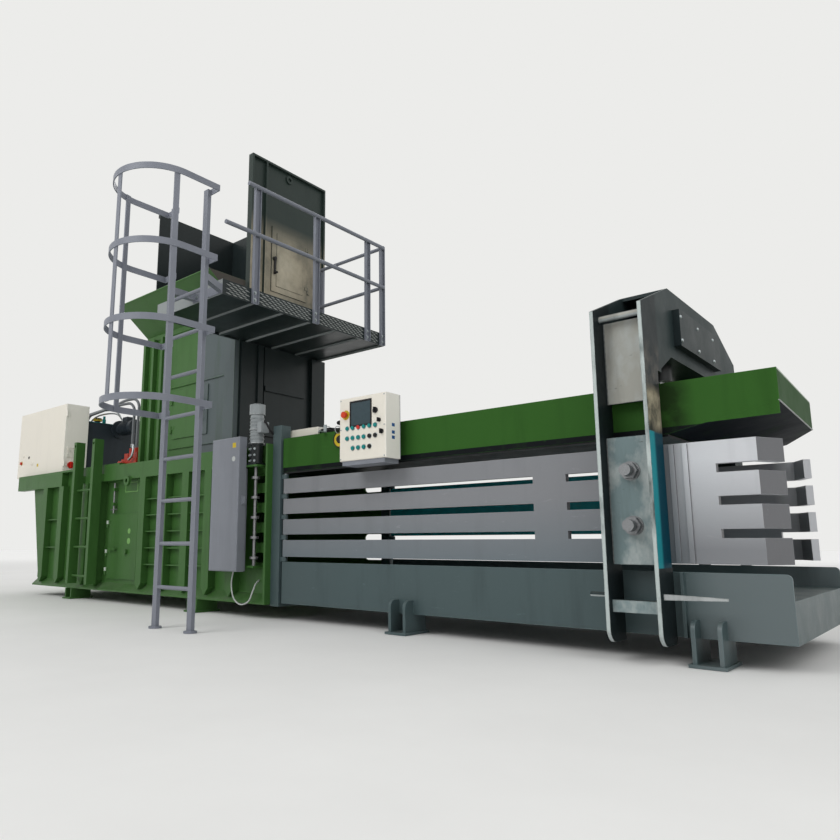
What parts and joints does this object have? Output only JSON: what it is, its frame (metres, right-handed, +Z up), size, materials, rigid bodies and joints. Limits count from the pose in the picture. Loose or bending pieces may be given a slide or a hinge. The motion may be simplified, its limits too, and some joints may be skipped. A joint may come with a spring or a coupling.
{
  "type": "recycling baler",
  "caption": "Horizontal channel baler: feed chute with platform and caged ladder, hydraulic ram body, tying unit and a long bale channel squeezed by hinged walls at a portal",
  "frame": {"origin": "on the floor under the middle of the whole machine's bounding box", "axes": "+X runs from the hydraulic end to the bale outlet, -Y is the side with ladder and panels, +Z is up"},
  "size_m": [8.56, 3.0838, 4.32],
  "materials": {
    "green_paint": "gloss machine enamel with grime and scratches",
    "slab_grey_paint": "satin grey enamel",
    "frame_grey_paint": "dark grey-green enamel, worn and dusty",
    "dark_sheet_paint": "near-black enamel with pale dust",
    "cover_grey_paint": "satin grey enamel",
    "ladder_grey_paint": "light grey enamel",
    "white_paint": "cabinet white powder coat",
    "tank_dark_paint": "dark grey enamel",
    "valve_red_paint": "red enamel",
    "cylinder_black_paint": "black enamel",
    "ram_steel": "bare rubbed steel",
    "pin_steel": "bare machined steel",
    "rod_chrome": "hard chrome",
    "hose_rubber": "black hose rubber",
    "screen_glass": "dark display glass",
    "red_plastic": "red moulded plastic",
    "teal_plastic": "teal moulded plastic",
    "black_plastic": "black moulded plastic"
  },
  "bodies": {
    "base": {"channel_tray": "frame_grey_paint", "portal_frame": "frame_grey_paint", "portal_plaque": "frame_grey_paint", "portal_studs": "pin_steel", "squeeze_cylinders": "cylinder_black_paint", "flange_frame": "frame_grey_paint", "wall_hinge_pins": "pin_steel", "body_near_side": "green_paint", "body_far_side": "green_paint", "body_core": "green_paint", "body_ladder": "green_paint", "main_cylinder": "cylinder_black_paint", "electrical_cabinet": "white_paint", "hydraulic_tank": "tank_dark_paint", "pump_motor": "tank_dark_paint", "valve_block": "valve_red_paint", "hydraulic_pipes": "tank_dark_paint", "hydraulic_hoses": "hose_rubber", "chute_near_wall": "green_paint", "chute_rear_walls": "green_paint", "chute_front_wall": "dark_sheet_paint", "loading_lip": "green_paint", "chute_hood": "dark_sheet_paint", "tall_panel": "dark_sheet_paint", "platform": "dark_sheet_paint", "guard_rail": "ladder_grey_paint", "access_ladder": "ladder_grey_paint", "ladder_cage": "ladder_grey_paint", "tying_housing": "cover_grey_paint", "tying_motor": "tank_dark_paint", "cable_box": "white_paint"},
    "beam": {"top_beam": "green_paint", "beam_platen": "frame_grey_paint", "control_box": "white_paint", "touch_screen": "screen_glass", "panel_bracket": "cover_grey_paint", "cables": "hose_rubber"},
    "near_squeeze": {"near_wall": "slab_grey_paint"},
    "far_squeeze": {"far_wall": "slab_grey_paint"},
    "top_jack": {"top_jack_rods": "rod_chrome"},
    "pusher": {"ram": "ram_steel", "ram_rod": "rod_chrome"},
    "access_leaf": {"access_door": "green_paint"},
    "bolt": {"door_bolt": "ram_steel"},
    "cabinet_leaf": {"cabinet_door": "white_paint"},
    "cabinet_key": {"cabinet_stop": "red_plastic"},
    "switch": {"main_switch": "red_plastic"},
    "chute_leaf": {"chute_door": "green_paint"},
    "hatch_leaf": {"service_hatch": "dark_sheet_paint"},
    "lever": {"hatch_lever": "ram_steel"},
    "cover_leaf": {"tying_cover": "cover_grey_paint"},
    "twister": {"twister_shaft": "ram_steel"},
    "stop_key": {"estop_button": "red_plastic"},
    "mode": {"mode_knob": "black_plastic"},
    "key": {"key_switch": "black_plastic"},
    "select": {"selector": "black_plastic"},
    "key_start": {"push_button_start": "teal_plastic"},
    "key_stop": {"push_button_stop": "red_plastic"},
    "key_ram": {"push_button_ram": "teal_plastic"},
    "key_tie": {"push_button_tie": "teal_plastic"}
  },
  "joints": [
    {"name": "ram_slide", "type": "slide", "parent": "base", "child": "pusher", "axis": [1, 0, 0], "range_m": [0, 2.09]},
    {"name": "near_wall_squeeze", "type": "hinge", "parent": "base", "child": "near_squeeze", "pos_m": [0.82, -0.018, 0.783], "axis": [0, 0, 1], "range_deg": [0, 0.7]},
    {"name": "far_wall_squeeze", "type": "hinge", "parent": "base", "child": "far_squeeze", "pos_m": [0.82, 1.322, 0.783], "axis": [0, 0, -1], "range_deg": [0, 0.7]},
    {"name": "beam_lift", "type": "hinge", "parent": "base", "child": "beam", "pos_m": [0.835, 0.652, 1.465], "axis": [0, -1, 0], "range_deg": [0, 0.8]},
    {"name": "top_jack_slide", "type": "slide", "parent": "base", "child": "top_jack", "axis": [0, 0, 1], "range_m": [0, 0.039]},
    {"name": "access_door_hinge", "type": "hinge", "parent": "base", "child": "access_leaf", "pos_m": [-1.88, -0.0525, 0.55], "axis": [0, 0, 1], "range_deg": [-80, 0]},
    {"name": "door_bolt_slide", "type": "slide", "parent": "base", "child": "bolt", "axis": [0, 0, 1], "range_m": [-0.05, 0]},
    {"name": "cabinet_door_hinge", "type": "hinge", "parent": "base", "child": "cabinet_leaf", "pos_m": [-3.0215, -0.03, 1.8], "axis": [0, 0, 1], "range_deg": [0, 110]},
    {"name": "cabinet_stop_press", "type": "slide", "parent": "cabinet_leaf", "child": "cabinet_key", "axis": [0, 1, 0], "range_m": [0, 0.005], "stiffness_N_per_m": 400},
    {"name": "main_switch_turn", "type": "hinge", "parent": "base", "child": "switch", "pos_m": [-3.03, 0.052, 1.49], "axis": [1, 0, 0], "range_deg": [0, 90]},
    {"name": "chute_door_hinge", "type": "hinge", "parent": "base", "child": "chute_leaf", "pos_m": [-1.03, 0.0975, 1.84], "axis": [0, 0, 1], "range_deg": [-110, 0]},
    {"name": "service_hatch_hinge", "type": "hinge", "parent": "base", "child": "hatch_leaf", "pos_m": [0.0125, 0.9525, 3.335], "axis": [0, 0, 1], "range_deg": [0, 100]},
    {"name": "hatch_lever_turn", "type": "hinge", "parent": "hatch_leaf", "child": "lever", "pos_m": [0.03, 0.497, 3.335], "axis": [1, 0, 0], "range_deg": [0, 90]},
    {"name": "tying_cover_hinge", "type": "hinge", "parent": "base", "child": "cover_leaf", "pos_m": [0.115, -0.159, 0.9], "axis": [0, 0, 1], "range_deg": [-110, 0]},
    {"name": "twister_turn", "type": "hinge", "parent": "base", "child": "twister", "pos_m": [0.54, -0.098, 0.8], "axis": [0, 0, 1], "continuous": true},
    {"name": "stop_press", "type": "slide", "parent": "beam", "child": "stop_key", "axis": [0, 1, 0], "range_m": [0, 0.005], "stiffness_N_per_m": 400},
    {"name": "mode_turn", "type": "hinge", "parent": "beam", "child": "mode", "pos_m": [1.962, -0.263, 1.465], "axis": [0, 1, 0], "range_deg": [0, 90]},
    {"name": "key_turn", "type": "hinge", "parent": "beam", "child": "key", "pos_m": [1.995, -0.263, 1.395], "axis": [0, 1, 0], "range_deg": [0, 90]},
    {"name": "selector_turn", "type": "hinge", "parent": "beam", "child": "select", "pos_m": [2.016, -0.263, 1.316], "axis": [0, 1, 0], "range_deg": [0, 90]},
    {"name": "button_start_press", "type": "slide", "parent": "beam", "child": "key_start", "axis": [0, 1, 0], "range_m": [0, 0.005], "stiffness_N_per_m": 400},
    {"name": "button_stop_press", "type": "slide", "parent": "beam", "child": "key_stop", "axis": [0, 1, 0], "range_m": [0, 0.005], "stiffness_N_per_m": 400},
    {"name": "button_ram_press", "type": "slide", "parent": "beam", "child": "key_ram", "axis": [0, 1, 0], "range_m": [0, 0.005], "stiffness_N_per_m": 400},
    {"name": "button_tie_press", "type": "slide", "parent": "beam", "child": "key_tie", "axis": [0, 1, 0], "range_m": [0, 0.005], "stiffness_N_per_m": 400}
  ],
  "couplings": [
    {"joint": "far_wall_squeeze", "follows": "near_wall_squeeze", "ratio": 1},
    {"joint": "top_jack_slide", "follows": "beam_lift", "m_per_rad": 2.7675}
  ]
}
